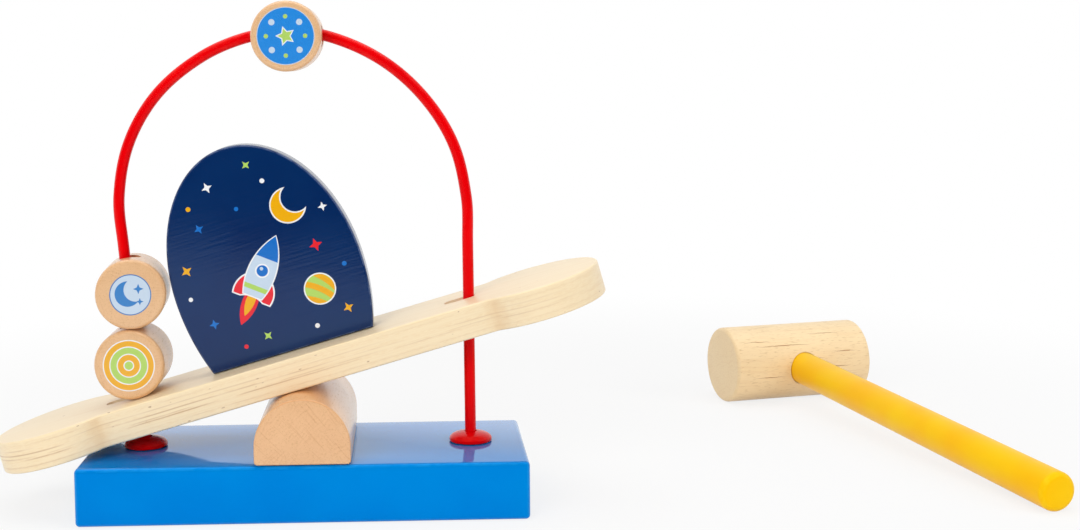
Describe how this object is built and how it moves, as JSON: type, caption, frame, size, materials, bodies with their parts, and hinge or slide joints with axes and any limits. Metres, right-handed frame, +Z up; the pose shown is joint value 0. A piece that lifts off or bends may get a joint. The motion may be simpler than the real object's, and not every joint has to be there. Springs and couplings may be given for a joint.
{
  "type": "hammer bench toy",
  "caption": "Wooden seesaw toy on a blue base: a tilting board under a red wire arch that carries thick wooden discs, with a loose wooden mallet to strike the board.",
  "frame": {"origin": "centre of the base block's underside", "axes": "+X along the base towards the raised end of the board, +Y from the front to the back, +Z up"},
  "size_m": [0.486, 0.2739, 0.231],
  "materials": {
    "blue_paint": "high-gloss blue paint on wood",
    "beech": "clear satin lacquer on beech",
    "screw_steel": "plain zinc-plated steel",
    "plywood": "clear satin lacquer on birch plywood",
    "navy_paint": "semi-gloss navy paint with a printed pattern",
    "dowel_wood": "raw beech dowel",
    "red_coating": "gloss red plastic coating on steel wire",
    "red_cap": "gloss red plastic",
    "disc_wood": "clear satin lacquer on beech, with a printed face",
    "head_wood": "clear satin lacquer on pale beech",
    "yellow_paint": "satin yellow paint on wood"
  },
  "bodies": {
    "bench": {"base_block": "blue_paint", "fulcrum": "beech", "fulcrum_screw_front": "screw_steel", "fulcrum_screw_back": "screw_steel", "wire_arch": "red_coating", "foot_cap_left": "red_cap", "foot_cap_right": "red_cap"},
    "seesaw": {"seesaw_board": "plywood", "sky_panel": "navy_paint", "panel_dowel_left": "dowel_wood", "panel_dowel_right": "dowel_wood"},
    "lower_disc": {"disc_lower": "disc_wood"},
    "upper_disc": {"disc_upper": "disc_wood"},
    "top_disc": {"disc_top": "disc_wood"},
    "mallet": {"mallet_head": "head_wood", "mallet_handle": "yellow_paint"}
  },
  "joints": [
    {"name": "seesaw_tilt", "type": "hinge", "parent": "bench", "child": "seesaw", "pos_m": [0, 0, 0.0556], "axis": [0, 1, 0], "range_deg": [0, 31.68]},
    {"name": "disc_lower_ride", "type": "slide", "parent": "bench", "child": "lower_disc", "axis": [-0.0863, 0, 0.9963], "range_m": [0, 0.0469]},
    {"name": "disc_upper_ride", "type": "hinge", "parent": "bench", "child": "upper_disc", "pos_m": [0.2048, 0, 0.1535], "axis": [0, 1, 0], "range_deg": [0, 9.65]},
    {"name": "disc_top_ride", "type": "hinge", "parent": "bench", "child": "top_disc", "pos_m": [-0.0058, 0, 0.1363], "axis": [0, 1, 0], "range_deg": [-55, 80]},
    {"name": "mallet_lift", "type": "slide", "parent": "bench", "child": "mallet", "axis": [0, 0, 1], "range_m": [0, 0.25]}
  ],
  "couplings": [
    {"joint": "disc_lower_ride", "follows": "seesaw_tilt", "m_per_rad": 0.0846},
    {"joint": "disc_upper_ride", "follows": "seesaw_tilt", "ratio": 0.304}
  ]
}
